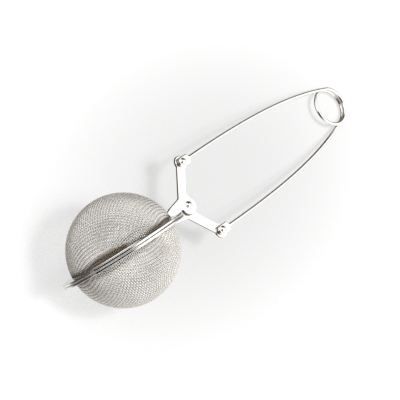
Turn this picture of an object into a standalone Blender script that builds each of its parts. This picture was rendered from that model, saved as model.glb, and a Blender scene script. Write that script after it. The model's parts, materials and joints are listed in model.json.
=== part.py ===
"""Tea infuser: a mesh ball in two halves, opened by squeezing a bowed spring-wire handle.

Metres, +Z up. The infuser is modelled in its own level frame: +X along the handle, +Z along the
pivot pins, the ball's seam in the plane Y = 0, the origin on the centre pin. An empty then leans
that frame nose-down until the ball's rim and the handle's coil both touch the ground, Z = 0.
"""

import math

import bmesh
import bpy
from mathutils import Matrix, Vector

MM = 0.001
CLEARANCE = 0.3 * MM            # between pieces that touch

# Ball and rims
RIM_RADIUS = 25.0 * MM
RIM_THICKNESS = 0.8 * MM
BALL_X = -37.8 * MM             # ball's centre, on the X axis
BOWL_RADIUS = 20.75 * MM        # outside of the mesh
BOWL_THICKNESS = 0.4 * MM
COLLAR_RADIUS = 19.75 * MM      # outside of the upright collar inside the mesh
COLLAR_THICKNESS = 0.4 * MM
COLLAR_TOP = 3.1 * MM           # above the seam
MESH_CELLS = 14                 # openings across a bowl, far coarser than the real weave
MESH_OPEN = 0.76                # side of an opening over side of its cell

# Levers
PLATE = 0.8 * MM
EYE_X, EYE_Y = 8.0 * MM, 14.8 * MM
EYE_RADIUS = 2.85 * MM
BOSS_RADIUS = 3.7 * MM
ARM_HALF_WIDTH = 2.0 * MM
ARM_ANGLE = math.radians(52)
TOE_X = -16.6 * MM              # end of the foot that stands on the rim
TOE_HEIGHT = 0.75 * MM
HEEL_X = -12.3 * MM             # where the foot leaves the rim for the boss
BOSS_ARC = (math.radians(186), math.radians(382))
ARM_OUTER_LENGTH = 12.2 * MM    # from the eye down the arm's outer edge
ARM_INNER_LENGTH = 15.0 * MM    # the same down its inner edge
KNEE = Vector((-9.2, 3.0)) * MM
ANKLE = Vector((-12.0, 2.0)) * MM
TOE_ROUND, ANKLE_ROUND, KNEE_ROUND, ARM_ROUND = 0.3 * MM, 1.0 * MM, 1.5 * MM, 1.2 * MM
STAMPED_EDGE = 0.12 * MM

# Rivets
CENTRE_SHANK, CENTRE_HEAD = 1.0 * MM, 1.6 * MM
HANDLE_SHANK, HANDLE_HEAD = 0.6 * MM, 1.42 * MM
HEAD_HEIGHT = 0.7 * MM
OPEN_EYE_HOLE = 1.25 * MM       # the upper wire eye floats on its rivet inside this hole

# Handle wire
WIRE_RADIUS = 0.7 * MM
WIRE_EYE_RADIUS = 1.95 * MM
WIRE_EYE_HALF_THICKNESS = 0.6 * MM
FLAT_LENGTH = 4.2 * MM          # straight flattened part beyond the eye's centre
SHOULDER_LENGTH = 1.2 * MM
COIL_X = 95.9 * MM
COIL_RADIUS = 7.6 * MM          # to the wire's centre
COIL_PITCH = 2 * WIRE_RADIUS + CLEARANCE
ARM_MEETS_COIL = math.radians(73)
BOW_REACH, BOW_RISE = 41 * MM, 0.6 * MM     # the arm's first control point, from the eye
SHOULDER_RISE = 0.1 * MM
COIL_LEAD = 22 * MM             # straight tendency of the arm before the coil
SPLIT_ANGLE = math.radians(55)  # the upper arm ends here, just past the start of the coil
DRILL_DEPTH = 4 * MM

# Heights above the plane between the two lever plates
LEVER_Z = PLATE / 2 + CLEARANCE / 2
UPPER_EYE_Z = PLATE + 1.5 * CLEARANCE + WIRE_EYE_HALF_THICKNESS
LOWER_EYE_Z = CLEARANCE / 2 + WIRE_EYE_HALF_THICKNESS
COIL_TURN = 2 * math.pi + 2 * ARM_MEETS_COIL
COIL_Z = (UPPER_EYE_Z + LOWER_EYE_Z) / 2
COIL_TOP_Z = COIL_Z + COIL_PITCH * COIL_TURN / (4 * math.pi)


def clear_scene():
    for obj in list(bpy.data.objects):
        bpy.data.objects.remove(obj, do_unlink=True)


def steel(name, grey, roughness):
    """Stainless steel, one material for each finish."""
    material = bpy.data.materials.new(name)
    material.use_nodes = True
    shader = material.node_tree.nodes["Principled BSDF"]
    shader.inputs["Base Color"].default_value = (grey, grey * 0.985, grey * 0.96, 1)
    shader.inputs["Metallic"].default_value = 1.0
    shader.inputs["Roughness"].default_value = roughness
    return material


def leaning_frame():
    """The empty that sets the level frame down on the ground, and moves its box's middle to X = 0."""
    reach = COIL_X + COIL_RADIUS
    coil_low = COIL_TOP_Z - COIL_PITCH * (2 * math.pi + ARM_MEETS_COIL) / (2 * math.pi)
    span = math.hypot(reach - BALL_X, coil_low)
    lean = math.asin((RIM_RADIUS - WIRE_RADIUS) / span) - math.atan2(coil_low, reach - BALL_X)
    x_low = BALL_X * math.cos(lean) - RIM_RADIUS
    coil_mid = coil_low + COIL_PITCH / 2
    x_high = reach * math.cos(lean) + coil_mid * math.sin(lean) + WIRE_RADIUS
    empty = bpy.data.objects.new("leaning_frame", None)
    empty.rotation_euler = (0, lean, 0)
    empty.location = (-(x_low + x_high) / 2, 0, RIM_RADIUS + BALL_X * math.sin(lean))
    bpy.context.collection.objects.link(empty)
    return empty


def pivot(name, frame, x, y):
    """An empty on a pin's axis, for the pieces that turn about it."""
    empty = bpy.data.objects.new(name, None)
    empty.parent = frame
    empty.location = (x, y, 0)
    bpy.context.collection.objects.link(empty)
    return empty


def add_object(name, mesh, material, parent):
    """A node from a bmesh drawn in the level frame, hung on a parent without moving it."""
    bmesh.ops.recalc_face_normals(mesh, faces=mesh.faces)
    if mesh.calc_volume(signed=True) < 0:
        bmesh.ops.reverse_faces(mesh, faces=mesh.faces)
    bmesh.ops.translate(mesh, verts=mesh.verts, vec=-parent.location if parent.parent else Vector())
    data = bpy.data.meshes.new(name)
    mesh.to_mesh(data)
    mesh.free()
    data.shade_smooth()
    data.set_sharp_from_angle(angle=math.radians(40))
    data.materials.append(material)
    obj = bpy.data.objects.new(name, data)
    obj.parent = parent
    bpy.context.collection.objects.link(obj)
    return obj


def bridge_rings(mesh, rings, closed):
    """Skin a list of vertex rings; a closed list joins its last ring to its first."""
    pairs = list(zip(rings, rings[1:]))
    if closed:
        pairs.append((rings[-1], rings[0]))
    for first, second in pairs:
        for i in range(len(first)):
            j = (i + 1) % len(first)
            mesh.faces.new((first[i], first[j], second[j], second[i]))


def turned(profile, centre, axis, segments, hollow):
    """Turn (radius, height) points about a line. A hollow profile is a closed loop clear of the line;
    a solid one runs from foot to head and is capped."""
    mesh = bmesh.new()
    turn = Vector((0, 0, 1)).rotation_difference(axis).to_matrix()
    rings = []
    for radius, height in profile:
        ring = []
        for step in range(segments):
            angle = 2 * math.pi * step / segments
            point = Vector((radius * math.cos(angle), radius * math.sin(angle), height))
            ring.append(mesh.verts.new(turn @ point + centre))
        rings.append(ring)
    bridge_rings(mesh, rings, closed=hollow)
    if not hollow:
        mesh.faces.new(rings[0])
        mesh.faces.new(rings[-1])
    return mesh


def mesh_bowl(name, side, material, parent):
    """Half a mesh ball, as one net of square openings draped over the sphere down to its edge."""
    edge_angle = math.acos((CLEARANCE / 2 + RIM_THICKNESS + CLEARANCE) / BOWL_RADIUS)

    def draped(u, v, radius):
        x = u * math.sqrt(1 - v * v / 2)
        z = v * math.sqrt(1 - u * u / 2)
        spread = math.hypot(x, z)
        polar = spread * edge_angle
        scale = math.sin(polar) / spread if spread > 1e-9 else 0.0
        return Vector((BALL_X + radius * scale * x, side * radius * math.cos(polar), radius * scale * z))

    mesh = bmesh.new()
    shells = (BOWL_RADIUS, BOWL_RADIUS - BOWL_THICKNESS)
    step = 2.0 / MESH_CELLS
    knots = {}
    for shell, radius in enumerate(shells):
        for i in range(MESH_CELLS + 1):
            for j in range(MESH_CELLS + 1):
                knots[shell, i, j] = mesh.verts.new(draped(-1 + i * step, -1 + j * step, radius))
    for i in range(MESH_CELLS):
        for j in range(MESH_CELLS):
            openings = []
            for shell, radius in enumerate(shells):
                corners = [knots[shell, i + a, j + b] for a, b in ((0, 0), (1, 0), (1, 1), (0, 1))]
                middle = sum((v.co for v in corners), Vector()) / 4
                inner = [mesh.verts.new(middle.lerp(v.co, MESH_OPEN)) for v in corners]
                openings.append(inner)
                for k in range(4):
                    n = (k + 1) % 4
                    mesh.faces.new((corners[k], corners[n], inner[n], inner[k]))
            bridge_rings(mesh, openings, closed=False)
    last = MESH_CELLS
    outline = [(i, 0) for i in range(last)] + [(last, j) for j in range(last)]
    outline += [(last - i, last) for i in range(last)] + [(0, last - j) for j in range(last)]
    bridge_rings(mesh, [[knots[shell, i, j] for i, j in outline] for shell in (0, 1)], closed=False)
    return add_object(name, mesh, material, parent)


def rim(name, side, material, parent):
    """Flat ring with a rounded outer edge and an upright collar inside the mesh."""
    low, high = CLEARANCE / 2, CLEARANCE / 2 + RIM_THICKNESS
    half = RIM_THICKNESS / 2
    profile = [(COLLAR_RADIUS - COLLAR_THICKNESS, COLLAR_TOP), (COLLAR_RADIUS - COLLAR_THICKNESS, low)]
    for step in range(6):
        angle = math.pi * (step / 5 - 0.5)
        profile.append((RIM_RADIUS - half + half * math.cos(angle), low + half + half * math.sin(angle)))
    profile += [(COLLAR_RADIUS, high), (COLLAR_RADIUS, COLLAR_TOP)]
    mesh = turned(profile, Vector((BALL_X, 0, 0)), Vector((0, side, 0)), 64, hollow=True)
    return add_object(name, mesh, material, parent)


def round_corners(points, radii, steps=4):
    """A closed outline with each corner replaced by an arc of its radius."""
    outline = []
    for k, corner in enumerate(points):
        if radii[k] == 0:
            outline.append(corner)
            continue
        before = (points[k - 1] - corner).normalized()
        after = (points[(k + 1) % len(points)] - corner).normalized()
        half_angle = before.angle(after) / 2
        centre = corner + (before + after).normalized() * radii[k] / math.sin(half_angle)
        reach = radii[k] / math.tan(half_angle)
        first, last = corner + before * reach - centre, corner + after * reach - centre
        start = math.atan2(first.y, first.x)
        sweep = math.atan2(first.x * last.y - first.y * last.x, first.dot(last))
        outline += arc_points(centre, radii[k], start, start + sweep, steps)
    return outline


def arc_points(centre, radius, start, end, steps):
    points = []
    for step in range(steps + 1):
        angle = start + (end - start) * step / steps
        points.append(centre + radius * Vector((math.cos(angle), math.sin(angle))))
    return points


def lever_outline():
    """The upper lever seen from above: foot, boss round the centre pin, arm and eye, counter-clockwise."""
    along = Vector((math.cos(ARM_ANGLE), math.sin(ARM_ANGLE)))
    across = Vector((along.y, -along.x))
    eye = Vector((EYE_X, EYE_Y))
    foot_low = CLEARANCE / 2 + RIM_THICKNESS + CLEARANCE
    neck = math.asin(ARM_HALF_WIDTH / EYE_RADIUS)
    back = ARM_ANGLE + math.pi

    points = [Vector((TOE_X, foot_low)), Vector((HEEL_X, foot_low))]
    radii = [TOE_ROUND, 0]
    boss = arc_points(Vector((0, 0)), BOSS_RADIUS, *BOSS_ARC, 18)
    points += boss
    radii += [0] * len(boss)
    points.append(eye + across * ARM_HALF_WIDTH - along * ARM_OUTER_LENGTH)
    radii.append(ARM_ROUND)
    end = arc_points(eye, EYE_RADIUS, back + neck, back + 2 * math.pi - neck, 16)
    points += end
    radii += [0] * len(end)
    points += [eye - across * ARM_HALF_WIDTH - along * ARM_INNER_LENGTH, KNEE, ANKLE]
    radii += [KNEE_ROUND, KNEE_ROUND, ANKLE_ROUND]
    points.append(Vector((TOE_X, foot_low + TOE_HEIGHT)))
    radii.append(TOE_ROUND)
    return round_corners(points, radii)


def lever(name, side, material, parent):
    """Stamped bell-crank plate with a hole for the centre pin and one for the handle's rivet."""
    mesh = bmesh.new()
    loops = [lever_outline()]
    for centre, shank in ((Vector((0, 0)), CENTRE_SHANK), (Vector((EYE_X, EYE_Y)), HANDLE_SHANK)):
        loops.append(arc_points(centre, shank + CLEARANCE, 0, 2 * math.pi, 20)[:-1])
    for loop in loops:
        verts = [mesh.verts.new((p.x, p.y, LEVER_Z - PLATE / 2)) for p in loop]
        for k in range(len(verts)):
            mesh.edges.new((verts[k - 1], verts[k]))
    bmesh.ops.triangle_fill(mesh, edges=mesh.edges, use_beauty=True)
    top = bmesh.ops.extrude_face_region(mesh, geom=mesh.faces[:])
    raised = [v for v in top["geom"] if isinstance(v, bmesh.types.BMVert)]
    bmesh.ops.translate(mesh, verts=raised, vec=(0, 0, PLATE))
    bmesh.ops.scale(mesh, verts=mesh.verts, vec=(1, side, side))
    obj = add_object(name, mesh, material, parent)
    bevel = obj.modifiers.new("stamped_edge", "BEVEL")
    bevel.width = STAMPED_EDGE
    bevel.segments = 1
    bevel.limit_method = "ANGLE"
    bevel.angle_limit = math.radians(60)
    return obj


def rivet(name, x, y, foot_z, seat_z, shank, head, material, parent):
    """Shank with a domed head on top and a flatter closed head below."""
    profile = [(head * 0.55, foot_z - HEAD_HEIGHT * 0.6), (head * 0.95, foot_z - HEAD_HEIGHT * 0.3)]
    profile += [(head * 0.95, foot_z), (shank, foot_z), (shank, seat_z)]
    for step in range(6):
        angle = math.radians(78) * step / 5
        profile.append((head * math.cos(angle), seat_z + HEAD_HEIGHT * math.sin(angle)))
    mesh = turned(profile, Vector((x, y, 0)), Vector((0, 0, 1)), 20, hollow=False)
    return add_object(name, mesh, material, parent)


def bezier(a, b, c, d, t):
    s = 1 - t
    return a * s ** 3 + b * 3 * s * s * t + c * 3 * s * t * t + d * t ** 3


def arm_path(side, eye_z, coil_z):
    """Centre line of one handle arm, from the flattened end's shoulder to where it meets the coil."""
    c, s = math.cos(ARM_MEETS_COIL), math.sin(ARM_MEETS_COIL)
    meet = Vector((COIL_X + COIL_RADIUS * c, COIL_RADIUS * s, 0))
    lead = meet - Vector((s, -c, 0)) * COIL_LEAD
    start = Vector((EYE_X + FLAT_LENGTH, EYE_Y + SHOULDER_RISE, 0))
    bow = Vector((EYE_X + BOW_REACH, EYE_Y + BOW_RISE, 0))
    points = []
    for step in range(21):
        t = step / 20
        point = bezier(start, bow, lead, meet, t)
        points.append(Vector((point.x, side * point.y, eye_z + (coil_z - eye_z) * t)))
    return points


def coil_path(start_angle, end_angle, steps):
    """Centre line of the coil, clockwise seen from above and descending from the upper arm."""
    points = []
    for step in range(steps + 1):
        angle = start_angle + (end_angle - start_angle) * step / steps
        fall = COIL_PITCH * (ARM_MEETS_COIL - angle) / (2 * math.pi)
        points.append(Vector((COIL_X + COIL_RADIUS * math.cos(angle),
                              COIL_RADIUS * math.sin(angle), COIL_TOP_Z - fall)))
    return points


def eye_sections(side, eye_z):
    """Stations of a flattened end: (centre, half width, half thickness), round tip to round wire."""
    centre = Vector((EYE_X, side * EYE_Y, eye_z))
    stations = []
    for step in range(8):
        angle = math.radians(10 + 80 * step / 7)
        back = -WIRE_EYE_RADIUS * math.cos(angle)
        stations.append((centre + Vector((back, 0, 0)), WIRE_EYE_RADIUS * math.sin(angle),
                         WIRE_EYE_HALF_THICKNESS))
    for share in (0.5, 1.0):
        x = (FLAT_LENGTH - SHOULDER_LENGTH) * share
        stations.append((centre + Vector((x, 0, 0)), WIRE_EYE_RADIUS, WIRE_EYE_HALF_THICKNESS))
    return stations


def swept(stations, corners=12):
    """Skin ring sections along a path of (centre, half width, half thickness), with flat ends."""
    mesh = bmesh.new()
    rings = []
    for k, (centre, half_width, half_thickness) in enumerate(stations):
        ahead = stations[min(k + 1, len(stations) - 1)][0]
        behind = stations[max(k - 1, 0)][0]
        tangent = (ahead - behind).normalized()
        sideways = Vector((0, 0, 1)).cross(tangent).normalized()
        upwards = tangent.cross(sideways)
        flat = half_width > 1.2 * WIRE_RADIUS or half_thickness < WIRE_RADIUS
        power = 0.45 if flat else 1.0
        ring = []
        for corner in range(corners):
            angle = 2 * math.pi * (corner + 0.5) / corners
            c, s = math.cos(angle), math.sin(angle)
            across = half_width * math.copysign(abs(c) ** power, c)
            up = half_thickness * math.copysign(abs(s) ** power, s)
            ring.append(mesh.verts.new(centre + sideways * across + upwards * up))
        rings.append(ring)
    bridge_rings(mesh, rings, closed=False)
    mesh.faces.new(rings[0])
    mesh.faces.new(rings[-1])
    return mesh


def drill(obj, x, y, z, radius):
    """Cut an upright round hole with a hidden cutter."""
    mesh = bmesh.new()
    bmesh.ops.create_cone(mesh, cap_ends=True, segments=20, radius1=radius, radius2=radius,
                          depth=DRILL_DEPTH)
    data = bpy.data.meshes.new(obj.name + "_drill")
    mesh.to_mesh(data)
    mesh.free()
    cutter = bpy.data.objects.new(obj.name + "_drill", data)
    cutter.parent = obj.parent
    cutter.location = Vector((x, y, z)) - obj.parent.location
    cutter.hide_render = True
    cutter.display_type = "WIRE"
    bpy.context.collection.objects.link(cutter)
    cut = obj.modifiers.new("eye_hole", "BOOLEAN")
    cut.object = cutter
    cut.operation = "DIFFERENCE"
    cut.solver = "EXACT"


def wire_stations(points):
    return [(point, WIRE_RADIUS, WIRE_RADIUS) for point in points]


def upper_wire(material, parent):
    """Upper arm of the spring handle, from its eye to the start of the coil."""
    stations = eye_sections(1, UPPER_EYE_Z)
    stations += wire_stations(arm_path(1, UPPER_EYE_Z, COIL_TOP_Z))
    stations += wire_stations(coil_path(ARM_MEETS_COIL, SPLIT_ANGLE, 3)[1:])
    obj = add_object("handle_wire_upper", swept(stations), material, parent)
    drill(obj, EYE_X, EYE_Y, UPPER_EYE_Z, OPEN_EYE_HOLE)
    return obj


def lower_wire(material, parent):
    """Lower arm of the spring handle and the coil that it winds into."""
    coil_end = ARM_MEETS_COIL - COIL_TURN
    coil_foot_z = COIL_TOP_Z - COIL_PITCH * COIL_TURN / (2 * math.pi)
    start = SPLIT_ANGLE - CLEARANCE / COIL_RADIUS
    stations = eye_sections(-1, LOWER_EYE_Z)
    stations += wire_stations(arm_path(-1, LOWER_EYE_Z, coil_foot_z))
    stations += wire_stations(coil_path(coil_end, start, 48)[1:])
    obj = add_object("handle_wire_lower", swept(stations), material, parent)
    drill(obj, EYE_X, -EYE_Y, LOWER_EYE_Z, HANDLE_SHANK + CLEARANCE)
    return obj


def build():
    clear_scene()
    frame = leaning_frame()
    opening = pivot("opening_pivot", frame, 0, 0)
    lower_pin = pivot("lower_arm_pivot", frame, EYE_X, -EYE_Y)
    coil_centre = pivot("coil_pivot", frame, COIL_X, 0)

    mesh_bowl("upper_mesh_bowl", 1, steel("mesh_upper", 0.62, 0.35), opening)
    mesh_bowl("lower_mesh_bowl", -1, steel("mesh_lower", 0.62, 0.35), frame)
    rim("upper_rim", 1, steel("rim_upper", 0.8, 0.18), opening)
    rim("lower_rim", -1, steel("rim_lower", 0.8, 0.18), frame)
    lever("upper_lever", 1, steel("lever_upper", 0.82, 0.2), opening)
    lever("lower_lever", -1, steel("lever_lower", 0.82, 0.2), frame)

    seat_top = PLATE + 1.5 * CLEARANCE
    rivet("centre_rivet", 0, 0, -seat_top, seat_top, CENTRE_SHANK, CENTRE_HEAD,
          steel("rivet_centre", 0.75, 0.15), frame)
    rivet("upper_handle_rivet", EYE_X, EYE_Y, -CLEARANCE / 2,
          UPPER_EYE_Z + WIRE_EYE_HALF_THICKNESS + CLEARANCE, HANDLE_SHANK, HANDLE_HEAD,
          steel("rivet_upper", 0.75, 0.15), opening)
    rivet("lower_handle_rivet", EYE_X, -EYE_Y, -seat_top,
          LOWER_EYE_Z + WIRE_EYE_HALF_THICKNESS + CLEARANCE, HANDLE_SHANK, HANDLE_HEAD,
          steel("rivet_lower", 0.75, 0.15), frame)

    upper_wire(steel("wire_upper", 0.8, 0.12), coil_centre)
    lower_wire(steel("wire_lower", 0.8, 0.12), lower_pin)
    bpy.context.view_layer.update()


build()
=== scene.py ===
"""Looks of the tea infuser: woven wire bowls, polished rims, stamped levers and one bent spring wire.

Every shape is drawn in millimetres in the infuser's own level frame, +X along the handle and +Z along
its pins with the origin on the centre pin, and is then set down where the CAD's joints say.
"""

import json
import math

import bmesh
import bpy
import numpy as np
from mathutils import Matrix, Vector


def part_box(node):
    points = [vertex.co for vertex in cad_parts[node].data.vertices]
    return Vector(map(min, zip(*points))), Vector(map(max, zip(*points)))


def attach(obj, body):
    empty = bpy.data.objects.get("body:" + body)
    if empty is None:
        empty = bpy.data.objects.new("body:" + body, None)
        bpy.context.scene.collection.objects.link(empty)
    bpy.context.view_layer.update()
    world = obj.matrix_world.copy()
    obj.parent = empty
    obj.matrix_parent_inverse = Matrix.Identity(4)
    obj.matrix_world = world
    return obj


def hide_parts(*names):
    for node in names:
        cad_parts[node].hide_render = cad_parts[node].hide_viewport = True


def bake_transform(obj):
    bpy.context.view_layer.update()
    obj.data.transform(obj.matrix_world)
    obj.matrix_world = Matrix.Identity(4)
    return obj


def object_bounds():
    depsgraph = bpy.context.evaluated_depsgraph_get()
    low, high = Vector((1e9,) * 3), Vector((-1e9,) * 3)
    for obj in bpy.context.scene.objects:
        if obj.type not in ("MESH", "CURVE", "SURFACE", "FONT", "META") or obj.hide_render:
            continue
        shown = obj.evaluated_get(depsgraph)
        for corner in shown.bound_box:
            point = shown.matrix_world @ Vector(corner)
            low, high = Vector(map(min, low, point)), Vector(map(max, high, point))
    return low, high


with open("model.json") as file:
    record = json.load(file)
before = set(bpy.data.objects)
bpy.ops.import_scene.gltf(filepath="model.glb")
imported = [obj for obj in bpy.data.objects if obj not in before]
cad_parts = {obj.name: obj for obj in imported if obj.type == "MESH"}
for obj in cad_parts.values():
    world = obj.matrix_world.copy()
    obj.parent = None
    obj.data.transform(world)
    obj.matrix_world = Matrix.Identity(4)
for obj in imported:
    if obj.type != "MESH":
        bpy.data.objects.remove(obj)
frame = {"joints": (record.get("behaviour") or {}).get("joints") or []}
CAD_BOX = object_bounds()
MM = 0.001

# ---------------------------------------------------------------- places read from the CAD

JOINTS = {joint["name"]: joint for joint in frame["joints"]}
CENTRE_PIN = Vector(JOINTS["ball_opening"]["pos_m"])
COIL_PIN = Vector(JOINTS["coil_flex"]["pos_m"])
UP = Vector(JOINTS["coil_flex"]["axis"]).normalized()
ALONG = (COIL_PIN - CENTRE_PIN).normalized()
ACROSS = UP.cross(ALONG)
LEVEL = Matrix.Translation(CENTRE_PIN) @ Matrix((ALONG, ACROSS, UP)).transposed().to_4x4()
TO_LEVEL = LEVEL.inverted()


def level_mm(point):
    """A world point in the infuser's level frame, in millimetres."""
    return (TO_LEVEL @ Vector(point)) / MM


rim_low, rim_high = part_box("lower_rim")
RIM_RADIUS = (rim_high.x - rim_low.x) / 2 / MM
BALL_X = level_mm((rim_low + rim_high) / 2).x
COIL_X = level_mm(COIL_PIN).x
EYE_X = level_mm(JOINTS["lower_arm_pivot"]["pos_m"]).x
EYE_Y = -level_mm(JOINTS["lower_arm_pivot"]["pos_m"]).y
BOWL_RADIUS = (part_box("lower_mesh_bowl")[1].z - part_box("lower_mesh_bowl")[0].z) / 2 / MM

# ---------------------------------------------------------------- sizes in millimetres

GAP = 0.3                       # between pieces that touch
SEAM = GAP / 2                  # from the seam plane to each rim
PLATE = 0.8
RIM_TOP = SEAM + PLATE
RIM_CORNER = 0.16               # radius of the corners on the rim's outer edge
COLLAR_RADIUS, COLLAR_WALL, COLLAR_TOP = 19.75, 0.4, 3.1
COLLAR_FILLET = 0.25            # where the collar's outer wall meets the flat
COLLAR_CORNER = 0.15            # where its inner wall meets the seam
RIM_SEGMENTS = 224
BEAD, BEAD_OUT = 0.32, 0.12     # radius of the bead, and how far outside the bowl its middle is
CREVICE_FLOOR = 0.2             # height above the flat where the collar's outer wall, painted dark as shade, starts

WIRE_PITCH = 0.78               # mesh wires, about 33 to the inch
MESH_WIRE = 0.14                # radius of a mesh wire
MESH_WIRE_SIDES = 6
MESH_FOOT = RIM_TOP + 0.05      # height above the seam where the mesh wires end
WEAVE_TURN = {"upper": math.radians(24), "lower": math.radians(-31)}   # how the cloth lies in each bowl

BOSS_RADIUS, EYE_RADIUS, ARM_HALF_WIDTH = 3.7, 2.85, 2.0
ARM_ANGLE = math.radians(52)
TOE_X, TOE_HEIGHT, TOE_ROUND = -16.6, 1.05, 0.5
HEEL_X = -12.6                  # where the foot leaves the rim
BOSS_SPAN = (186, 382)          # degrees of the boss's outline, from the heel round to the arm
ARM_FRONT, FRONT_ROUND = 12.2, 1.2    # from the eye back to the corner at the boss, and its radius
ARM_BACK, KNEE_ROUND = 15.0, 1.5      # from the eye back to the knee, and its radius
FOOT_BACK = (((-9.2, 3.0), 1.5), ((-12.0, 2.0), 1.0))    # corners along the foot's back, with radii
BORE_SLACK = 0.12               # between a lever's bore and the rivet's shank
ROLLED_EDGE = 0.34              # width of the rolled edge on the levers' outer side
FINE_EDGE = 0.3                 # share of that width on every other edge of a lever
TINY = 0.01                     # lengths closer than this count as equal

SHANK = {"centre": 1.0, "handle": 0.6}
HEAD = {"centre": 1.6, "handle": 1.42}
HEAD_HEIGHT = {"centre": 0.95, "handle": 0.85}
TAIL_SHARE = 0.95               # radius of the closed head over that of the domed head
TAIL_CORNER = 0.22
DIMPLE, DIMPLE_Z = 0.08, 0.30   # radius of the dimple's bottom, and its distance from the plate
DISH_SHARE, DISH_Z = 0.3, 0.36  # radius of the dimple's edge over the head's, and its distance
HEAD_LIP = 0.03                 # small bevel under both heads
HEAD_SEAT = 0.02                # between a head and what it holds
RIVET_SEGMENTS, DOME_ROWS = 56, 15

WIRE = 0.7                      # radius of the handle's wire
WIRE_EYE, WIRE_EYE_HALF = 1.95, 0.6
FLAT_LENGTH, SHOULDER = 4.2, 1.2
FLAT_SQUARENESS, ROUND = 6.0, 2.0     # powers of the rounded-box sections of the flat and of the wire
TIP_THINNING = 0.3              # share of its thickness that the flat loses at the very tip
TIP_SUDDENNESS = 24             # power of the cosine that it is lost with
UPPER_BORE = SHANK["handle"] + 0.65   # wide, because the upper eye isn't pinned to its rivet
LOWER_BORE = SHANK["handle"] + 0.3
DRILL_LENGTH, DRILL_SEGMENTS = 4, 48  # long enough to go right through an eye
ARM_BOW = Vector((41, 0.6, 0))  # from an eye to the first control point of its arm's curve
ARM_RUN_IN = 22                 # from the coil back to the second control point
ARM_RISE = 0.1                  # how far outside its eye an arm starts
COIL_RADIUS = 7.6
COIL_PITCH = 2 * WIRE + GAP
ARM_MEETS_COIL = math.radians(73)
COIL_TURN = 2 * math.pi + 2 * ARM_MEETS_COIL
UPPER_EYE_Z = PLATE + 1.5 * GAP + WIRE_EYE_HALF
LOWER_EYE_Z = GAP / 2 + WIRE_EYE_HALF
COIL_TOP_Z = (UPPER_EYE_Z + LOWER_EYE_Z) / 2 + COIL_PITCH * COIL_TURN / (4 * math.pi)
COIL_FOOT_Z = COIL_TOP_Z - COIL_PITCH * COIL_TURN / (2 * math.pi)

# ---------------------------------------------------------------- mesh helpers


def place(name, vertices, faces, material, body=None):
    """A smooth-shaded piece from level-frame millimetres, riding on a CAD body."""
    data = bpy.data.meshes.new(name)
    data.from_pydata([tuple(v) for v in vertices], [], faces)
    data.transform(LEVEL @ Matrix.Scale(MM, 4))
    data.validate()
    return finish_piece(name, data, material, body)


def place_bmesh(name, mesh, material, body=None):
    bmesh.ops.recalc_face_normals(mesh, faces=mesh.faces)
    if mesh.calc_volume(signed=True) < 0:
        bmesh.ops.reverse_faces(mesh, faces=mesh.faces)
    bmesh.ops.transform(mesh, matrix=LEVEL @ Matrix.Scale(MM, 4), verts=mesh.verts)
    data = bpy.data.meshes.new(name)
    mesh.to_mesh(data)
    mesh.free()
    return finish_piece(name, data, material, body)


def finish_piece(name, data, material, body):
    data.shade_smooth()
    data.set_sharp_from_angle(angle=math.radians(35))
    data.materials.append(material)
    piece = bpy.data.objects.new(name, data)
    bpy.context.collection.objects.link(piece)
    if body:
        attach(piece, body)
    return piece


def second_material(piece, material, faces):
    """Give some faces, named by index, a material of their own."""
    piece.data.materials.append(material)
    for index in faces:
        piece.data.polygons[index].material_index = 1


def bridge(mesh, rings, closed):
    pairs = list(zip(rings, rings[1:]))
    if closed:
        pairs.append((rings[-1], rings[0]))
    for first, second in pairs:
        for i in range(len(first)):
            j = (i + 1) % len(first)
            mesh.faces.new((first[i], first[j], second[j], second[i]))


def turned(profile, centre, axis, segments, hollow):
    """Turn (radius, height) points about a line through centre."""
    mesh = bmesh.new()
    turn = Vector((0, 0, 1)).rotation_difference(axis).to_matrix()
    rings = []
    for radius, height in profile:
        ring = []
        for step in range(segments):
            angle = 2 * math.pi * step / segments
            point = Vector((radius * math.cos(angle), radius * math.sin(angle), height))
            ring.append(mesh.verts.new(turn @ point + centre))
        rings.append(ring)
    bridge(mesh, rings, closed=hollow)
    if not hollow:
        mesh.faces.new(rings[0])
        mesh.faces.new(rings[-1])
    return mesh


def arc(centre, radius, start, end, steps):
    """Points along an arc, angles in degrees."""
    points = []
    for step in range(steps + 1):
        angle = math.radians(start + (end - start) * step / steps)
        points.append(Vector(centre) + radius * Vector((math.cos(angle), math.sin(angle))))
    return points


# ---------------------------------------------------------------- materials


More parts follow.
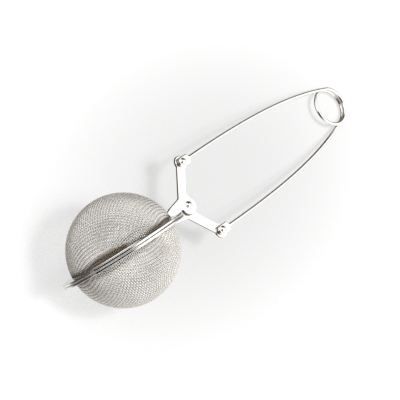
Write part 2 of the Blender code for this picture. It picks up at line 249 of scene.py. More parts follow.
class Nodes:
    """Short names for adding and linking shader nodes."""

    def __init__(self, tree):
        self.tree = tree

    def add(self, kind, **values):
        node = self.tree.nodes.new(kind)
        for key, value in values.items():
            setattr(node, key, value)
        return node

    def link(self, source, target):
        self.tree.links.new(source, target)

    def noise(self, coordinates, scale, detail):
        noise = self.add("ShaderNodeTexNoise")
        noise.inputs["Scale"].default_value = scale
        noise.inputs["Detail"].default_value = detail
        self.link(coordinates, noise.inputs["Vector"])
        return noise.outputs["Fac"]

    def math(self, operation, a, b):
        node = self.add("ShaderNodeMath", operation=operation)
        for socket, value in zip(node.inputs, (a, b)):
            self.feed(socket, value)
        return node.outputs[0]

    def mix(self, factor, a, b):
        node = self.add("ShaderNodeMix", data_type="FLOAT")
        for socket, value in zip(("Factor", "A", "B"), (factor, a, b)):
            self.feed(node.inputs[socket], value)
        return node.outputs["Result"]

    def feed(self, socket, value):
        """A number is set on the socket, and anything else is linked to it."""
        if isinstance(value, (int, float)):
            socket.default_value = value
        else:
            self.link(value, socket)

    def patch(self, direction, towards, wide, narrow, strength):
        """Soft-edged patch round a level-frame direction: gone at wide degrees, full inside narrow."""
        nearness = self.dot(direction, LEVEL.to_3x3() @ Vector(towards).normalized())
        low, high = math.cos(math.radians(wide)), math.cos(math.radians(narrow))
        return self.smooth(nearness, low, high, 0, strength)

    def dot(self, vector, towards):
        """Dot product of a vector with a unit vector in world space."""
        node = self.add("ShaderNodeVectorMath", operation="DOT_PRODUCT")
        self.link(vector, node.inputs[0])
        node.inputs[1].default_value = towards
        return node.outputs["Value"]

    def along(self, coordinates, towards, start):
        """Distance in metres along a level-frame direction, from a level-frame point in millimetres."""
        towards = LEVEL.to_3x3() @ Vector(towards).normalized()
        start = LEVEL @ (Vector(start) * MM)
        return self.math("SUBTRACT", self.dot(coordinates, towards), towards.dot(start))

    def warm_darks(self, brightness):
        """White where it is bright, and a warm brown tint where it is dark."""
        mix = self.add("ShaderNodeMix", data_type="RGBA")
        mix.inputs["A"].default_value = (*DARK_TINT, 1)
        mix.inputs["B"].default_value = (1, 1, 1, 1)
        self.link(self.smooth(brightness, 0.0, 0.5, 0.0, 1.0), mix.inputs["Factor"])
        return mix.outputs["Result"]

    def smooth(self, value, low, high, new_low, new_high):
        return self.remap(value, low, high, new_low, new_high, "SMOOTHSTEP")

    def remap(self, value, low, high, new_low, new_high, kind="LINEAR"):
        node = self.add("ShaderNodeMapRange", interpolation_type=kind)
        for socket, number in zip(("From Min", "From Max", "To Min", "To Max"),
                                  (low, high, new_low, new_high)):
            node.inputs[socket].default_value = number
        self.link(value, node.inputs["Value"])
        return node.outputs["Result"]


CLOUD_SCALE, SCRATCH_SCALE, STAIN_SCALE = 260, 2600, 120     # features per metre
SCRATCH_DEPTH = 0.02 * MM
STAIN_TINT = (0.86, 0.82, 0.76)
# colour of the painted shade on the mesh beside the seam
SEAM_SHADE_TONE = (0.26, 0.215, 0.165)
SEAM_SHADE_EDGES = (1.4, 3.3)         # distances from the seam where the painted shade starts to fade and is gone
SHADE_CRESCENT_MIDDLE = (BALL_X - 3.5, 0, -3.2)  # point round which the painted shade climbs higher, in a crescent
SHADE_CRESCENT_ALONG = (0.73, 0, 0.68)    # direction in which the distance from that point counts
SHADE_CRESCENT_EDGES = (2.0, 11.5)        # distances where the climb starts to fade and is gone
SHADE_CRESCENT_HEIGHT = 1.35


def painted_seam_shade(n, coordinates, colour, strength):
    """A colour darkened by painted shade on the mesh beside the seam, climbing higher in a crescent."""
    from_seam = n.math("ABSOLUTE", n.along(coordinates, (0, 1, 0), (0, 0, 0)), 0.0)
    from_crescent_middle = n.math("ABSOLUTE", n.along(coordinates, SHADE_CRESCENT_ALONG, SHADE_CRESCENT_MIDDLE), 0.0)
    climb = n.smooth(from_crescent_middle, *(edge * MM for edge in SHADE_CRESCENT_EDGES), SHADE_CRESCENT_HEIGHT * MM, 0.0)
    from_seam = n.math("SUBTRACT", from_seam, climb)
    seam_shading = n.add("ShaderNodeMix", data_type="RGBA", blend_type="MULTIPLY")
    n.link(n.smooth(from_seam, *(edge * MM for edge in SEAM_SHADE_EDGES), strength, 0.0), seam_shading.inputs["Factor"])
    n.link(colour, seam_shading.inputs["A"])
    seam_shading.inputs["B"].default_value = (*SEAM_SHADE_TONE, 1)
    return seam_shading.outputs["Result"]


def steel(name, tone, roughness, scratch, satin=0.0, stain=0.36, seam_shade=0.0):
    """Stainless steel with fine scratches, cloudy roughness and faint water marks.

    satin is the share of light that its fine surface scatters instead of mirroring. seam_shade is how much
    painted shade beside the seam darkens it.
    """
    material = bpy.data.materials.new(name)
    material.use_nodes = True
    shader = material.node_tree.nodes["Principled BSDF"]
    n = Nodes(material.node_tree)
    coordinates = n.add("ShaderNodeTexCoord").outputs["Object"]
    shader.inputs["Metallic"].default_value = 1.0 - satin

    clouds = n.remap(n.noise(coordinates, CLOUD_SCALE, 4.0), 0.3, 0.7, roughness * 0.75, roughness * 1.25)
    fine = n.noise(coordinates, SCRATCH_SCALE, 3.0)
    n.link(n.math("ADD", clouds, n.remap(fine, 0.3, 0.7, -0.03, 0.03)), shader.inputs["Roughness"])

    marks = n.add("ShaderNodeMix", data_type="RGBA")
    marks.inputs["A"].default_value = (*tone, 1)
    marks.inputs["B"].default_value = (*(part * tint for part, tint in zip(tone, STAIN_TINT)), 1)
    n.link(n.remap(n.noise(coordinates, STAIN_SCALE, 5.0), 0.52, 0.78, 0.0, stain), marks.inputs["Factor"])
    colour = marks.outputs["Result"]
    if seam_shade:
        colour = painted_seam_shade(n, coordinates, colour, seam_shade)
    n.link(colour, shader.inputs["Base Color"])

    bump = n.add("ShaderNodeBump")
    bump.inputs["Strength"].default_value = scratch
    bump.inputs["Distance"].default_value = SCRATCH_DEPTH
    n.link(fine, bump.inputs["Height"])
    n.link(bump.outputs["Normal"], shader.inputs["Normal"])
    return material


def mesh_steel(half, seam_shade):
    return steel(f"{half}_mesh_steel", (0.82, 0.80, 0.765), 0.26, 0.02, satin=0.28, seam_shade=seam_shade)


# the upper bowl's mesh gets stronger painted shade beside the seam than the lower bowl's
MESH_STEEL = {"upper": mesh_steel("upper", 1.0), "lower": mesh_steel("lower", 0.2)}
RIM_STEEL = steel("rim_steel", (0.84, 0.83, 0.81), 0.08, 0.05)
LEVER_STEEL = steel("lever_steel", (0.86, 0.855, 0.845), 0.2, 0.08)
# rough like a sheared edge, and painted dark brown as shade for the dark lines along the levers' sides
SHEARED_AND_SHADED_STEEL = steel("sheared_and_shaded_steel", (0.24, 0.18, 0.13), 0.42, 0.1, stain=0.6)
# painted shade: near-black steel for the collar's outer wall behind the mesh
SHADED_CREVICE_STEEL = steel("shaded_crevice_steel", (0.17, 0.145, 0.12), 0.45, 0.1, stain=0.6)
RIVET_STEEL = steel("rivet_steel", (0.80, 0.78, 0.745), 0.12, 0.03)
WIRE_STEEL = steel("spring_wire_steel", (0.84, 0.82, 0.785), 0.12, 0.03)

# ---------------------------------------------------------------- woven bowls


def pressed_net(radius, pitch, reach):
    """Knots of a cloth pressed over a ball: every wire keeps its pitch, and the openings shear instead.

    Knot (i, j) is grown from its two neighbours nearer the pole. Returned with both signs of i and j.
    """
    step = pitch / radius
    corner = np.zeros((reach + 1, reach + 1, 3))
    for i in range(reach + 1):
        corner[i, 0] = (math.sin(i * step), math.cos(i * step), 0)
        corner[0, i] = (0, math.cos(i * step), math.sin(i * step))
    for i in range(1, reach + 1):
        for j in range(1, reach + 1):
            a, b = corner[i - 1, j], corner[i, j - 1]
            middle = (a + b) / 2
            length = np.linalg.norm(middle)
            forward = np.cross(a - b, middle)
            forward /= max(np.linalg.norm(forward), 1e-9)
            if forward @ corner[i - 1, j - 1] > 0:
                forward = -forward
            turn = math.acos(min(1.0, math.cos(step) / length))
            corner[i, j] = math.cos(turn) * middle / length + math.sin(turn) * forward
    net = np.zeros((2 * reach + 1, 2 * reach + 1, 3))
    for sign_i in (1, -1):
        for sign_j in (1, -1):
            rows = reach + sign_i * np.arange(reach + 1)
            columns = reach + sign_j * np.arange(reach + 1)
            net[np.ix_(rows, columns)] = corner * (sign_i, 1, sign_j)
    return net


def wire_path(knots, wave, radius, edge):
    """One mesh wire: over and under at each knot, level half way between, cut where it meets the edge."""
    middle = len(knots) // 2
    path = []
    for direction in (-1, 1):
        half = []
        k = middle
        while knots[k][1] * radius > edge and 0 < k < len(knots) - 1:
            half.append((knots[k], wave[k]))
            half.append(((knots[k] + knots[k + direction]) / 2, 0.0))
            k += direction
        if not half:
            return None
        inner, outer = half[-2][0], knots[k]
        share = (inner[1] - edge / radius) / max(inner[1] - outer[1], 1e-9)
        half = half[:-1] if share < 0.5 else half
        half.append((inner + (outer - inner) * share, 0.0))
        path = half[::-1] if direction < 0 else path + half[1:]
    unit = np.array([point for point, _ in path])
    unit /= np.linalg.norm(unit, axis=1)[:, None]
    height = np.array([lift for _, lift in path])
    return unit, unit * (radius + height)[:, None]


def tube(outward, centres, radius, sides, first):
    """Vertices and faces of a capped tube along a path, numbered from first."""
    tangent = np.gradient(centres, axis=0)
    tangent /= np.linalg.norm(tangent, axis=1)[:, None]
    across = np.cross(tangent, outward)
    across /= np.linalg.norm(across, axis=1)[:, None]
    lift = np.cross(across, tangent)
    angle = 2 * np.pi * np.arange(sides) / sides
    ring = np.cos(angle)[None, :, None] * lift[:, None] + np.sin(angle)[None, :, None] * across[:, None]
    vertices = (centres[:, None] + radius * ring).reshape(-1, 3)
    faces = []
    for k in range(len(centres) - 1):
        base = first + k * sides
        for s in range(sides):
            n = (s + 1) % sides
            faces.append((base + s, base + sides + s, base + sides + n, base + n))
    last = first + (len(centres) - 1) * sides
    faces.append(tuple(first + s for s in range(sides)))
    faces.append(tuple(last + s for s in reversed(range(sides))))
    return vertices, faces


def woven_bowl(half, side, body):
    """Two crossing sets of wires pressed into half a ball, turned about the ball's axis."""
    radius = BOWL_RADIUS - 2 * MESH_WIRE
    turn = WEAVE_TURN[half]
    spare_knots, fewest_points = 6, 4
    reach = int(radius * math.pi / 2 / WIRE_PITCH) + spare_knots
    net = pressed_net(radius, WIRE_PITCH, reach)
    parity = np.where((np.add.outer(np.arange(2 * reach + 1), np.arange(2 * reach + 1)) % 2) == 0, 1, -1)
    pieces = []
    for family in ("warp", "weft"):
        grid = net if family == "warp" else net.transpose(1, 0, 2)
        wave = parity * (MESH_WIRE if family == "warp" else -MESH_WIRE)
        vertices, faces, count = [], [], 0
        for row in range(2 * reach + 1):
            made = wire_path(grid[:, row], wave[:, row], radius, MESH_FOOT)
            if made is None or len(made[0]) < fewest_points:
                continue
            points, more = tube(*made, MESH_WIRE, MESH_WIRE_SIDES, count)
            vertices.append(points)
            faces += more
            count += len(points)
        points = np.concatenate(vertices)
        c, s = math.cos(turn), math.sin(turn)
        x = points[:, 0] * c - points[:, 2] * s
        z = points[:, 0] * s + points[:, 2] * c
        points = np.stack([x + BALL_X, side * points[:, 1], z], axis=1)
        if side < 0:
            faces = [face[::-1] for face in faces]
        pieces.append(place(f"{half}_bowl_{family}", points, faces, MESH_STEEL[half], body))
    for piece in pieces:
        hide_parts(f"{half}_mesh_bowl")
    # Wires drawn one by one shade each other more than fine cloth does, so one set casts no shadow.
    pieces[1].visible_diffuse = False
    pieces[1].visible_shadow = False


woven_bowl("upper", 1, "upper_half")
woven_bowl("lower", -1, "lower_half")

# ---------------------------------------------------------------- rims


def in_crevice(point):
    """Whether a point is on the collar's outer wall, where the mesh is pinned and the steel is painted dark
    as shade.
    """
    radius = math.hypot(point.x - BALL_X, point.z)
    return abs(point.y) > RIM_TOP + CREVICE_FLOOR and radius > COLLAR_RADIUS - COLLAR_WALL / 2


def rim(half, side, body):
    """Folded ring: collar inside the mesh, a bead that pins the mesh's edge, a flat and an upright edge."""
    wall = COLLAR_WALL / 2
    inner = COLLAR_RADIUS - COLLAR_WALL
    edge = RIM_RADIUS - RIM_CORNER
    profile = arc((inner + wall, COLLAR_TOP - wall), wall, 180, 0, 8)
    profile += arc((COLLAR_RADIUS + COLLAR_FILLET, RIM_TOP + COLLAR_FILLET), COLLAR_FILLET, 180, 270, 4)
    profile += arc((BOWL_RADIUS + BEAD_OUT, RIM_TOP), BEAD, 170, 10, 8)
    profile += arc((edge, RIM_TOP - RIM_CORNER), RIM_CORNER, 90, 4, 6)
    profile += arc((edge, SEAM + RIM_CORNER), RIM_CORNER, -4, -90, 6)
    profile += arc((inner + COLLAR_CORNER, SEAM + COLLAR_CORNER), COLLAR_CORNER, 270, 180, 4)
    mesh = turned([tuple(p) for p in reversed(profile)], Vector((BALL_X, 0, 0)),
                  Vector((0, side, 0)), RIM_SEGMENTS, hollow=True)
    walls = [face.index for face in mesh.faces if in_crevice(face.calc_center_median())]
    piece = place_bmesh(f"{half}_rim_ring", mesh, RIM_STEEL, body)
    # the collar's outer wall gets the painted shade
    second_material(piece, SHADED_CREVICE_STEEL, walls)
    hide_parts(f"{half}_rim")


rim("upper", 1, "upper_half")
rim("lower", -1, "lower_half")

# ---------------------------------------------------------------- levers


def round_corners(points, radii, steps=8):
    """A closed outline with each corner replaced by an arc of its radius."""
    outline = []
    for k, corner in enumerate(points):
        if radii[k] == 0:
            outline.append(corner)
            continue
        before = (points[k - 1] - corner).normalized()
        after = (points[(k + 1) % len(points)] - corner).normalized()
        half_angle = before.angle(after) / 2
        centre = corner + (before + after).normalized() * radii[k] / math.sin(half_angle)
        reach = radii[k] / math.tan(half_angle)
        first, last = corner + before * reach - centre, corner + after * reach - centre
        start = math.degrees(math.atan2(first.y, first.x))
        sweep = math.degrees(math.atan2(first.x * last.y - first.y * last.x, first.dot(last)))
        outline += arc(centre, radii[k], start, start + sweep, steps)
    return outline


def lever_outline():
    """Foot, boss round the centre pin, arm and eye, counter-clockwise."""
    along = Vector((math.cos(ARM_ANGLE), math.sin(ARM_ANGLE)))
    across = Vector((along.y, -along.x))
    eye = Vector((EYE_X, EYE_Y))
    neck = math.degrees(math.asin(ARM_HALF_WIDTH / EYE_RADIUS))
    back = math.degrees(ARM_ANGLE) + 180
    corners = [(Vector((TOE_X, RIM_TOP)), TOE_ROUND), (Vector((HEEL_X, RIM_TOP)), 0)]
    corners += [(point, 0) for point in arc((0, 0), BOSS_RADIUS, *BOSS_SPAN, 48)]
    corners.append((eye + across * ARM_HALF_WIDTH - along * ARM_FRONT, FRONT_ROUND))
    corners += [(point, 0) for point in arc(eye, EYE_RADIUS, back + neck, back + 360 - neck, 48)]
    corners.append((eye - across * ARM_HALF_WIDTH - along * ARM_BACK, KNEE_ROUND))
    corners += [(Vector(point), radius) for point, radius in FOOT_BACK]
    corners.append((Vector((TOE_X, RIM_TOP + TOE_HEIGHT)), TOE_ROUND))
    return round_corners([c for c, _ in corners], [r for _, r in corners])


def edge_roll(edge):
    """Share of the rolled edge's width that an edge of the plate gets."""
    a, b = (vert.co for vert in edge.verts)
    if edge.calc_face_angle(0) <= math.radians(60) or abs(a.z - b.z) >= TINY:
        return 0.0
    outer_side = (a.z + b.z) / 2 > PLATE
    in_centre_bore = min(a.xy.length, b.xy.length) <= BOSS_RADIUS / 2
    from_eye = (a.xy - Vector((EYE_X, EYE_Y))).length
    in_eye_bore = abs(from_eye - SHANK["handle"] - BORE_SLACK) <= TINY
    return 1.0 if outer_side and not in_centre_bore and not in_eye_bore else FINE_EDGE


def lever(half, side, body):
    """Stamped plate with a rolled and a sheared edge; the lower one is the upper one turned over."""
    mesh = bmesh.new()
    loops = [lever_outline()]
    for centre, shank in (((0, 0), SHANK["centre"]), ((EYE_X, EYE_Y), SHANK["handle"])):
        loops.append(arc(centre, shank + BORE_SLACK, 0, 360, 40)[:-1])
    for loop in loops:
        verts = [mesh.verts.new((p.x, p.y, GAP / 2)) for p in loop]
        for k in range(len(verts)):
            mesh.edges.new((verts[k - 1], verts[k]))
    bmesh.ops.triangle_fill(mesh, edges=mesh.edges, use_beauty=True)
    top = bmesh.ops.extrude_face_region(mesh, geom=mesh.faces[:])
    raised = [v for v in top["geom"] if isinstance(v, bmesh.types.BMVert)]
    bmesh.ops.translate(mesh, verts=raised, vec=(0, 0, PLATE))
    mesh.normal_update()
    weight = mesh.edges.layers.float.new("bevel_weight_edge")
    for edge in mesh.edges:
        edge[weight] = edge_roll(edge)
    bmesh.ops.scale(mesh, verts=mesh.verts, vec=(1, side, side))
    mesh.normal_update()
    walls = [face.index for face in mesh.faces if abs(face.normal.z) < 0.5]
    piece = place_bmesh(f"{half}_lever_plate", mesh, LEVER_STEEL, body)
    # the plate's side walls get the rough steel with painted dark shade
    second_material(piece, SHEARED_AND_SHADED_STEEL, walls)
    bevel = piece.modifiers.new("stamped_edge", "BEVEL")
    bevel.width = ROLLED_EDGE * MM
    bevel.use_clamp_overlap = False
    bevel.segments = 5
    bevel.limit_method = "WEIGHT"
    bevel.harden_normals = True
    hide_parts(f"{half}_lever")


lever("upper", 1, "upper_half")
lever("lower", -1, "lower_half")

# ---------------------------------------------------------------- rivets


def rivet(node, x, y, foot, seat, size, body):
    """Domed head, shank and a closed head with a small punched dimple."""
    shank, head, height = SHANK[size], HEAD[size], HEAD_HEIGHT[size]
    tail = head * TAIL_SHARE
    dome = (head * head + height * height) / (2 * height)
    lean = math.asin(head / dome)
    profile = [(DIMPLE, foot - DIMPLE_Z), (head * DISH_SHARE, foot - DISH_Z)]
    profile += [tuple(p) for p in arc((tail - TAIL_CORNER, foot - TAIL_CORNER), TAIL_CORNER, 270, 360, 6)]
    profile += [(tail, foot - HEAD_LIP), (tail - HEAD_LIP, foot)]
    profile += [(shank, foot), (shank, seat), (head - HEAD_LIP, seat)]
    for step in range(DOME_ROWS):
        angle = lean * (1 - step / DOME_ROWS)
        profile.append((dome * math.sin(angle), seat + height - dome + dome * math.cos(angle)))
    mesh = turned(profile, Vector((x, y, 0)), Vector((0, 0, 1)), RIVET_SEGMENTS, hollow=False)
    piece = place_bmesh(node + "_turned", mesh, RIVET_STEEL, body)
    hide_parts(node)


STACK = PLATE + GAP / 2
rivet("centre_rivet", 0, 0, -STACK - HEAD_SEAT, STACK + HEAD_SEAT, "centre", "lower_half")
rivet("upper_handle_rivet", EYE_X, EYE_Y, GAP / 2 - HEAD_SEAT,
      UPPER_EYE_Z + WIRE_EYE_HALF + HEAD_SEAT, "handle", "upper_half")
rivet("lower_handle_rivet", EYE_X, -EYE_Y, -STACK - HEAD_SEAT,
      LOWER_EYE_Z + WIRE_EYE_HALF + HEAD_SEAT, "handle", "lower_half")

# ---------------------------------------------------------------- spring wire


def eye_stations(side, eye_z):
    """Flattened end, from its round tip to where the wire leaves it."""
    centre = Vector((EYE_X, side * EYE_Y, eye_z))
    stations = []
    tip_steps, flat_steps, shoulder_steps = 20, 6, 9
    first_angle, last_angle = 6, 90
    for step in range(tip_steps):
        angle = math.radians(first_angle + (last_angle - first_angle) * step / (tip_steps - 1))
        thickness = WIRE_EYE_HALF * (1 - TIP_THINNING * math.cos(angle) ** TIP_SUDDENNESS)
        stations.append((centre + Vector((-WIRE_EYE * math.cos(angle), 0, 0)),
                         WIRE_EYE * math.sin(angle), thickness, FLAT_SQUARENESS))
    flat = FLAT_LENGTH - SHOULDER
    for step in range(1, flat_steps + 1):
        stations.append((centre + Vector((flat * step / flat_steps, 0, 0)),
                         WIRE_EYE, WIRE_EYE_HALF, FLAT_SQUARENESS))
    for step in range(1, shoulder_steps):
        share = step / shoulder_steps
        ease = share * share * (3 - 2 * share)
        stations.append((centre + Vector((flat + SHOULDER * share, 0, 0)),
                         WIRE_EYE + (WIRE - WIRE_EYE) * ease,
                         WIRE_EYE_HALF + (WIRE - WIRE_EYE_HALF) * ease,
                         FLAT_SQUARENESS + (ROUND - FLAT_SQUARENESS) * ease))
    return stations


def arm_points(side, eye_z, coil_z, steps=64):
    """Bowed arm, from its eye's shoulder to the coil."""
    outwards = Vector((math.cos(ARM_MEETS_COIL), math.sin(ARM_MEETS_COIL), 0))
    heading = Vector((outwards.y, -outwards.x, 0))
    eye = Vector((EYE_X, EYE_Y, 0))
    a = eye + Vector((FLAT_LENGTH, ARM_RISE, 0))
    b = eye + ARM_BOW
    meet = Vector((COIL_X, 0, 0)) + outwards * COIL_RADIUS
    c = meet - heading * ARM_RUN_IN
    points = []
    for step in range(steps + 1):
        t = step / steps
        s = 1 - t
        p = a * s ** 3 + b * 3 * s * s * t + c * 3 * s * t * t + meet * t ** 3
        points.append(Vector((p.x, side * p.y, eye_z + (coil_z - eye_z) * t)))
    return points


def coil_points(steps=150):
    """From the lower arm's end up to the upper arm's start."""
    points = []
    for step in range(1, steps):
        share = step / steps
        angle = -ARM_MEETS_COIL + COIL_TURN * share
        z = COIL_FOOT_Z + (COIL_TOP_Z - COIL_FOOT_Z) * share
        points.append(Vector((COIL_X + COIL_RADIUS * math.cos(angle), COIL_RADIUS * math.sin(angle), z)))
    return points


def swept(stations, corners=28):
    """Skin rounded-box sections of (centre, half width, half thickness, squareness) along a path."""
    mesh = bmesh.new()
    rings = []
    for k, (centre, half_width, half_thickness, power) in enumerate(stations):
        ahead = stations[min(k + 1, len(stations) - 1)][0]
        behind = stations[max(k - 1, 0)][0]
        tangent = (ahead - behind).normalized()
        sideways = Vector((0, 0, 1)).cross(tangent).normalized()
        upwards = tangent.cross(sideways)
        ring = []
        for corner in range(corners):
            angle = 2 * math.pi * (corner + 0.5) / corners
            c, s = math.cos(angle), math.sin(angle)
            across = half_width * math.copysign(abs(c) ** (2 / power), c)
            up = half_thickness * math.copysign(abs(s) ** (2 / power), s)
            ring.append(mesh.verts.new(centre + sideways * across + upwards * up))
        rings.append(ring)
    bridge(mesh, rings, closed=False)
    mesh.faces.new(rings[0])
    mesh.faces.new(rings[-1])
    return mesh


def drill(piece, x, y, z, radius):
    """Cut an upright hole through a piece, and keep the cut mesh."""
    mesh = bmesh.new()
    bmesh.ops.create_cone(mesh, cap_ends=True, segments=DRILL_SEGMENTS,
                          radius1=radius, radius2=radius, depth=DRILL_LENGTH)
    bmesh.ops.translate(mesh, verts=mesh.verts, vec=(x, y, z))
    bmesh.ops.transform(mesh, matrix=LEVEL @ Matrix.Scale(MM, 4), verts=mesh.verts)
    data = bpy.data.meshes.new("drill")
    mesh.to_mesh(data)
    mesh.free()
    cutter = bpy.data.objects.new("drill", data)
    bpy.context.collection.objects.link(cutter)
    cut = piece.modifiers.new("hole", "BOOLEAN")
    cut.object = cutter
    cut.operation = "DIFFERENCE"
    cut.solver = "EXACT"
    bpy.context.view_layer.update()
    evaluated = piece.evaluated_get(bpy.context.evaluated_depsgraph_get())
    result = bpy.data.meshes.new_from_object(evaluated)
    piece.modifiers.clear()
    piece.data = result
    bpy.data.objects.remove(cutter)


def spring_wire():
    """One wire: eye, arm, coil, arm, eye, with the coil between the two CAD arms."""
    stations = eye_stations(-1, LOWER_EYE_Z)
    line = arm_points(-1, LOWER_EYE_Z, COIL_FOOT_Z)
    line += coil_points()
    line += reversed(arm_points(1, UPPER_EYE_Z, COIL_TOP_Z))
    stations += [(point, WIRE, WIRE, ROUND) for point in line]
    stations += reversed(eye_stations(1, UPPER_EYE_Z))
    piece = place_bmesh("spring_wire_handle", swept(stations), WIRE_STEEL)
    drill(piece, EYE_X, EYE_Y, UPPER_EYE_Z, UPPER_BORE)
    drill(piece, EYE_X, -EYE_Y, LOWER_EYE_Z, LOWER_BORE)
    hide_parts("handle_wire_lower", "handle_wire_upper")
    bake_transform(piece)


spring_wire()

# ---------------------------------------------------------------- floor, light, camera

FLOOR_SIZE = 3.0                # half the floor's side, in metres
FLOOR_GLOW = 0.66               # share of the floor's light that shadows leave alone
SHADE_OVAL_MIDDLE, SHADE_OVAL_HALF_WIDTHS = (0.004, 0, 0), (0.105, 0.075, 1)      # of the greyer oval of painted shade round the object, in metres
SHADE_OVAL_EDGES, SHADE_OVAL_TONES = (0.15, 1.3), (0.80, 1.06)    # in half widths from its middle, and the tones there
FLOOR_MIRRORED = 0.9            # how bright steel sees the floor, less the dark sides below
FLOOR_LEAST = 0.02              # and at the least
MIRRORED_GLOW = 0.6             # share of the mirrored floor's light that shadows leave alone
# directions as for TENT_LIGHTS below, with how much darker the floor is
FLOOR_DARK_SIDES = (
    ((0.10, 0.85, -0.50), 56, 36, 0.76),
    ((-0.75, 0.00, -0.66), 42, 18, 0.82),
    ((0.95, 0.22, -0.22), 30, 15, 0.7),
)
SKY = 0.24                      # even light on the floor
SOFTBOX_DISTANCE = 0.9
# name, direction in the world's frame, side in metres, watts
SOFTBOXES = (
    ("key", (0.05, -0.22, 1.0), 0.36, 4.4),
    ("spot", (0.03, -0.14, 1.0), 0.12, 2.2),
)
BACKDROP = 0.95
TENT_REST = 0.21                # what the steel sees where no light is
WING = ((0.72, 0.66, 0.12), 48, 30, 0.85)   # dark wing, where the wires show a dark side
DARK_TINT = (1.0, 0.80, 0.62)   # colour of what is dark
SLOT = ((-0.976, 0.00, 0.208), 62, 45)    # dark slot where the camera stands, between the lights
SLOT_HALF_HEIGHT = (0.14, 0.36)       # sines of the angles from the seam plane where it fades and is gone
# direction in the level frame, angle where the light is gone, angle where it is full, strength
TENT_LIGHTS = (
    ((0.50, -0.35, 0.79), 58, 32, 1.14),
    ((-0.05, 0.00, 1.00), 42, 20, 0.45),
    ((-0.10, -0.90, 0.30), 58, 25, 1.0),
    ((-0.62, 0.68, 0.40), 52, 28, 1.2),
)
FILL = ((-0.68, 0.62, 0.38), 72, 28, 0.75)   # extra light on rough surfaces only


def floor():
    """White table that partly glows, with painted shade in a greyer oval round the object, and dark sides
    painted on it that only show in the steel.
    """
    mesh = bmesh.new()
    bmesh.ops.create_grid(mesh, x_segments=1, y_segments=1, size=FLOOR_SIZE)
    data = bpy.data.meshes.new("floor")
    mesh.to_mesh(data)
    mesh.free()
    material = bpy.data.materials.new("floor_white")
    material.use_nodes = True
    shader = material.node_tree.nodes["Principled BSDF"]
    n = Nodes(material.node_tree)
    distance = n.add("ShaderNodeVectorMath", operation="LENGTH")
    mapping = n.add("ShaderNodeMapping", vector_type="TEXTURE")
    mapping.inputs["Location"].default_value = SHADE_OVAL_MIDDLE
    mapping.inputs["Scale"].default_value = SHADE_OVAL_HALF_WIDTHS
    n.link(n.add("ShaderNodeTexCoord").outputs["Object"], mapping.inputs["Vector"])
    n.link(mapping.outputs["Vector"], distance.inputs[0])
    # painted shade: the floor is darker in an oval round the object
    tone = n.smooth(distance.outputs["Value"], *SHADE_OVAL_EDGES, *SHADE_OVAL_TONES)
    incoming = n.add("ShaderNodeNewGeometry").outputs["Incoming"]
    mirrored = n.add("ShaderNodeValue").outputs[0]
    mirrored.default_value = FLOOR_MIRRORED
    for towards, wide, narrow, depth in FLOOR_DARK_SIDES:
        mirrored = n.math("SUBTRACT", mirrored, n.patch(incoming, -Vector(towards), wide, narrow, depth))
    mirrored = n.math("MAXIMUM", mirrored, FLOOR_LEAST)
    rays = n.add("ShaderNodeLightPath").outputs
    mirror = rays["Is Glossy Ray"]
    lit = n.math("MULTIPLY", tone, 1 - FLOOR_GLOW)
    glow = n.math("MULTIPLY", tone, FLOOR_GLOW)
    n.link(n.mix(mirror, lit, n.math("MULTIPLY", mirrored, 1 - MIRRORED_GLOW)), shader.inputs["Base Color"])
    glow = n.mix(mirror, glow, n.math("MULTIPLY", mirrored, MIRRORED_GLOW))
    n.link(n.mix(rays["Is Diffuse Ray"], glow, 0.0), shader.inputs["Emission Strength"])
    brightness = n.mix(mirror, 1.0, mirrored)
    n.link(n.warm_darks(brightness), shader.inputs["Emission Color"])
    shader.inputs["Roughness"].default_value = 0.9
    shader.inputs["Specular IOR Level"].default_value = 0.0
    data.materials.append(material)
    piece = bpy.data.objects.new("floor", data)
    bpy.context.collection.objects.link(piece)
    piece.location.z = CAD_BOX[0].z


def softbox(name, direction, side, power):
    """A square light that faces the object and isn't mirrored in it."""
    light = bpy.data.lights.new(name, "AREA")
    light.shape = "SQUARE"
    light.size = side
    light.energy = power
    lamp = bpy.data.objects.new(name, light)
    bpy.context.collection.objects.link(lamp)
    direction = Vector(direction).normalized()
    lamp.location = (CAD_BOX[0] + CAD_BOX[1]) / 2 + direction * SOFTBOX_DISTANCE
    lamp.rotation_mode = "QUATERNION"
    lamp.rotation_quaternion = direction.to_track_quat("Z", "Y")
    lamp.visible_glossy = False


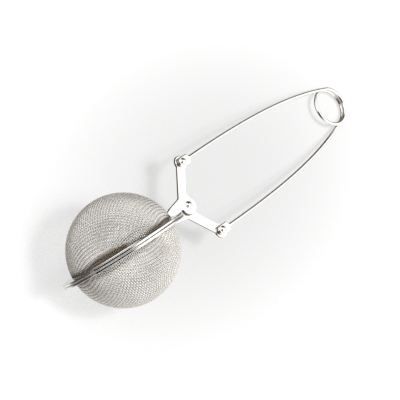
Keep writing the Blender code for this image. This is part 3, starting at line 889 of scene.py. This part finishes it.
def studio():
    """Even sky, fill and two softboxes for rough surfaces, and a tent of lights for the steel to mirror."""
    world = bpy.data.worlds.new("studio")
    bpy.context.scene.world = world
    world.use_nodes = True
    n = Nodes(world.node_tree)
    background = world.node_tree.nodes["Background"]
    direction = n.add("ShaderNodeTexCoord").outputs["Generated"]

    total = n.add("ShaderNodeValue").outputs[0]
    total.default_value = TENT_REST
    for towards, wide, narrow, strength in TENT_LIGHTS:
        total = n.math("ADD", total, n.patch(direction, towards, wide, narrow, strength))
    height = n.math("ABSOLUTE", n.dot(direction, ACROSS), 0.0)
    slot = n.smooth(height, *SLOT_HALF_HEIGHT, 1.0, 0.0)
    slot = n.math("MULTIPLY", slot, n.patch(direction, *SLOT, 1.0))
    total = n.math("MULTIPLY", total, n.math("SUBTRACT", 1.0, slot))
    total = n.math("MULTIPLY", total, n.math("SUBTRACT", 1.0, n.patch(direction, *WING)))
    rays = n.add("ShaderNodeLightPath").outputs
    sky = n.math("ADD", n.patch(direction, *FILL), SKY)
    seen = n.mix(rays["Is Glossy Ray"], sky, total)
    seen = n.mix(rays["Is Camera Ray"], seen, BACKDROP)
    n.link(seen, background.inputs["Strength"])
    n.link(n.warm_darks(seen), background.inputs["Color"])

    for box in SOFTBOXES:
        softbox(*box)


TILT, SIDEWAYS, ROLL = math.radians(43.17), math.radians(2.97), math.radians(34.85)
CAMERA_DISTANCE, AIM_RIGHT, AIM_ABOVE = 595.6, 5.04, -0.86    # millimetres from the centre pin
LENS, SENSOR = 144, 36


def camera():
    """Long lens, above and behind the ball, rolled so that the handle rises to the right."""
    level_share = math.cos(SIDEWAYS)
    back = Vector((-math.sin(TILT) * level_share, math.sin(SIDEWAYS), math.cos(TILT) * level_share))
    right = (Vector((1, 0, 0)) - back * back.x).normalized()
    above = back.cross(right)
    stand = back * CAMERA_DISTANCE + right * AIM_RIGHT + above * AIM_ABOVE
    turned_right = right * math.cos(ROLL) - above * math.sin(ROLL)
    turned_above = right * math.sin(ROLL) + above * math.cos(ROLL)
    data = bpy.data.cameras.new("photo_view")
    data.lens = LENS
    data.sensor_width = SENSOR
    data.clip_start = 0.01
    view = bpy.data.objects.new("photo_view", data)
    bpy.context.collection.objects.link(view)
    pose = Matrix((turned_right, turned_above, back)).transposed().to_4x4()
    view.matrix_world = LEVEL @ Matrix.Translation(stand * MM) @ pose
    bpy.context.scene.camera = view


floor()
studio()
camera()
scene = bpy.context.scene
scene.view_settings.view_transform = "Standard"
scene.render.filter_size = 1.0
scene.cycles.use_denoising = False
